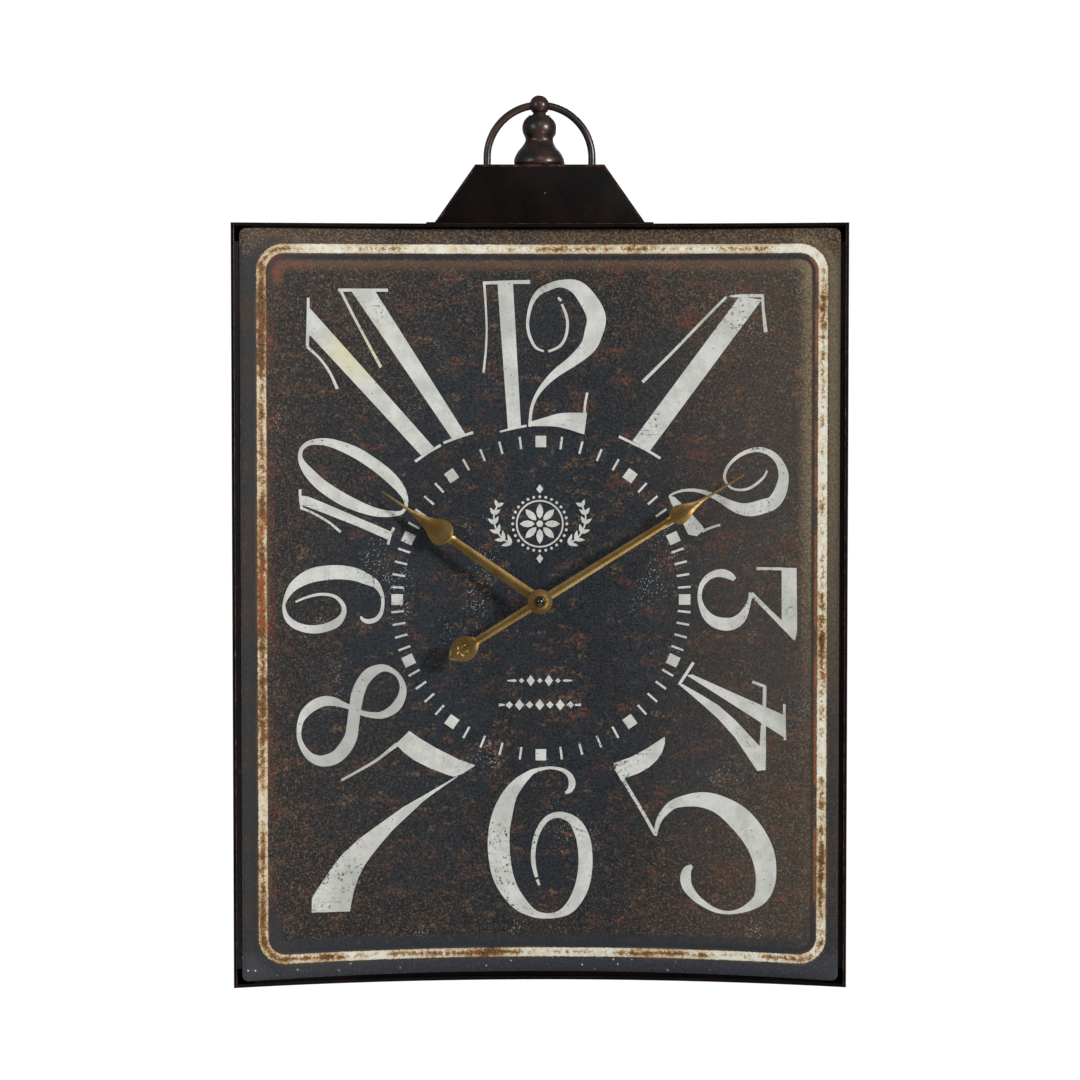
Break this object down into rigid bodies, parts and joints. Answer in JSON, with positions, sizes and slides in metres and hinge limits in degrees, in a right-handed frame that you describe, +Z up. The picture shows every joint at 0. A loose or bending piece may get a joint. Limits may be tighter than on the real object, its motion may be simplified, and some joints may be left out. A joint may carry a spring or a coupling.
{
  "type": "wall clock",
  "caption": "Rectangular wall clock: concave dial in a sheet-metal case, spade hands geared to a battery movement, trapezoid shoulder with turned crown and bow.",
  "frame": {"origin": "centre of the keyhole's round hole, in the plane of the wall", "axes": "+Z up, -Y the way the dial faces, +Y into the wall, +X to the right of a person who reads the clock"},
  "size_m": [0.558, 0.092, 0.8147],
  "materials": {
    "case_enamel": "dark bronze enamel, worn to red-brown on the edges",
    "dial_print": "printed and varnished sheet, crazed and rust spotted",
    "back_board": "pressed hardboard, stained dark",
    "zinc_steel": "zinc plated",
    "turned_bronze": "glossy dark bronze over turned metal",
    "hand_gold": "gold coloured, ridged",
    "black_nut": "glossy black",
    "movement_black": "moulded, fine texture",
    "brass": "turned",
    "gear_white": "moulded",
    "knob_black": "moulded, knurled",
    "magnet_grey": "sintered",
    "iron_strip": "stamped",
    "copper_wire": "enamelled copper",
    "board_green": "solder resist with a black epoxy drop",
    "tin_can": "drawn can",
    "nickel_strip": "nickel plated",
    "cell_label": "film label over a metal can",
    "rubber_black": "matt"
  },
  "bodies": {
    "case": {"top_rail": "case_enamel", "bottom_rail": "case_enamel", "left_wall": "case_enamel", "right_wall": "case_enamel", "dial_panel": "dial_print", "top_ledge": "case_enamel", "bottom_ledge": "case_enamel", "left_ledge": "case_enamel", "right_ledge": "case_enamel", "dial_studs": "zinc_steel", "dial_nuts": "zinc_steel", "back_cover": "back_board", "cover_screws": "zinc_steel", "hanger_plate": "zinc_steel", "hanger_rivets": "zinc_steel", "shoulder_strap": "case_enamel", "shoulder_front": "case_enamel", "shoulder_back": "case_enamel", "crown_base": "turned_bronze", "crown_ball": "turned_bronze", "crown_stud": "zinc_steel", "crown_washer": "zinc_steel", "crown_nut": "zinc_steel", "bow_ring": "turned_bronze", "bow_nuts": "zinc_steel", "movement_plate": "movement_black", "movement_cover": "movement_black", "gear_bridge": "movement_black", "stator": "iron_strip", "coil_core": "iron_strip", "coil_winding": "copper_wire", "circuit_board": "board_green", "quartz_crystal": "tin_can", "contact_positive": "nickel_strip", "contact_negative": "nickel_strip", "dial_washer": "rubber_black", "bush_washer": "brass", "bush_nut": "brass"},
    "minute_hands": {"minute_hand": "hand_gold", "minute_shaft": "brass", "cap_nut": "black_nut"},
    "hour_hands": {"hour_hand": "hand_gold", "hour_wheel": "brass"},
    "motion_wheel": {"minute_wheel": "gear_white"},
    "knob": {"setting_knob": "knob_black"},
    "centre": {"centre_wheel": "gear_white"},
    "third": {"third_wheel": "gear_white"},
    "second": {"second_wheel": "gear_white"},
    "fifth": {"fifth_wheel": "gear_white"},
    "rotor": {"rotor_pinion": "gear_white", "rotor_magnet": "magnet_grey"},
    "cell": {"battery": "cell_label"}
  },
  "joints": [
    {"name": "minute_hand_spin", "type": "hinge", "parent": "case", "child": "minute_hands", "pos_m": [0, -0.03, -0.3145], "axis": [0, 1, 0], "continuous": true},
    {"name": "hour_hand_spin", "type": "hinge", "parent": "case", "child": "hour_hands", "pos_m": [0, -0.03, -0.3145], "axis": [0, 1, 0], "continuous": true},
    {"name": "minute_wheel_spin", "type": "hinge", "parent": "case", "child": "motion_wheel", "pos_m": [0.003, -0.03, -0.3197], "axis": [0, 1, 0], "continuous": true},
    {"name": "setting_knob_spin", "type": "hinge", "parent": "case", "child": "knob", "pos_m": [0.0088, -0.03, -0.32125], "axis": [0, 1, 0], "continuous": true},
    {"name": "second_wheel_spin", "type": "hinge", "parent": "case", "child": "second", "pos_m": [-0.00229, -0.03, -0.30486], "axis": [0, 1, 0], "continuous": true},
    {"name": "third_wheel_spin", "type": "hinge", "parent": "case", "child": "third", "pos_m": [-0.00589, -0.03, -0.3111], "axis": [0, 1, 0], "continuous": true},
    {"name": "centre_wheel_spin", "type": "hinge", "parent": "case", "child": "centre", "pos_m": [0, -0.03, -0.3145], "axis": [0, 1, 0], "continuous": true},
    {"name": "fifth_wheel_spin", "type": "hinge", "parent": "case", "child": "fifth", "pos_m": [0.0048, -0.03, -0.30611], "axis": [0, 1, 0], "continuous": true},
    {"name": "rotor_spin", "type": "hinge", "parent": "case", "child": "rotor", "pos_m": [0.01138, -0.03, -0.30851], "axis": [0, 1, 0], "continuous": true},
    {"name": "battery_slide", "type": "slide", "parent": "case", "child": "cell", "axis": [0, 1, 0], "range_m": [0, 0.045]}
  ],
  "couplings": [
    {"joint": "hour_hand_spin", "follows": "minute_hand_spin", "ratio": 0.083333},
    {"joint": "minute_wheel_spin", "follows": "minute_hand_spin", "ratio": -0.33333},
    {"joint": "setting_knob_spin", "follows": "minute_hand_spin", "ratio": 1},
    {"joint": "third_wheel_spin", "follows": "second_wheel_spin", "ratio": -0.125},
    {"joint": "centre_wheel_spin", "follows": "second_wheel_spin", "ratio": 0.016667},
    {"joint": "fifth_wheel_spin", "follows": "second_wheel_spin", "ratio": -5},
    {"joint": "rotor_spin", "follows": "second_wheel_spin", "ratio": 30}
  ]
}
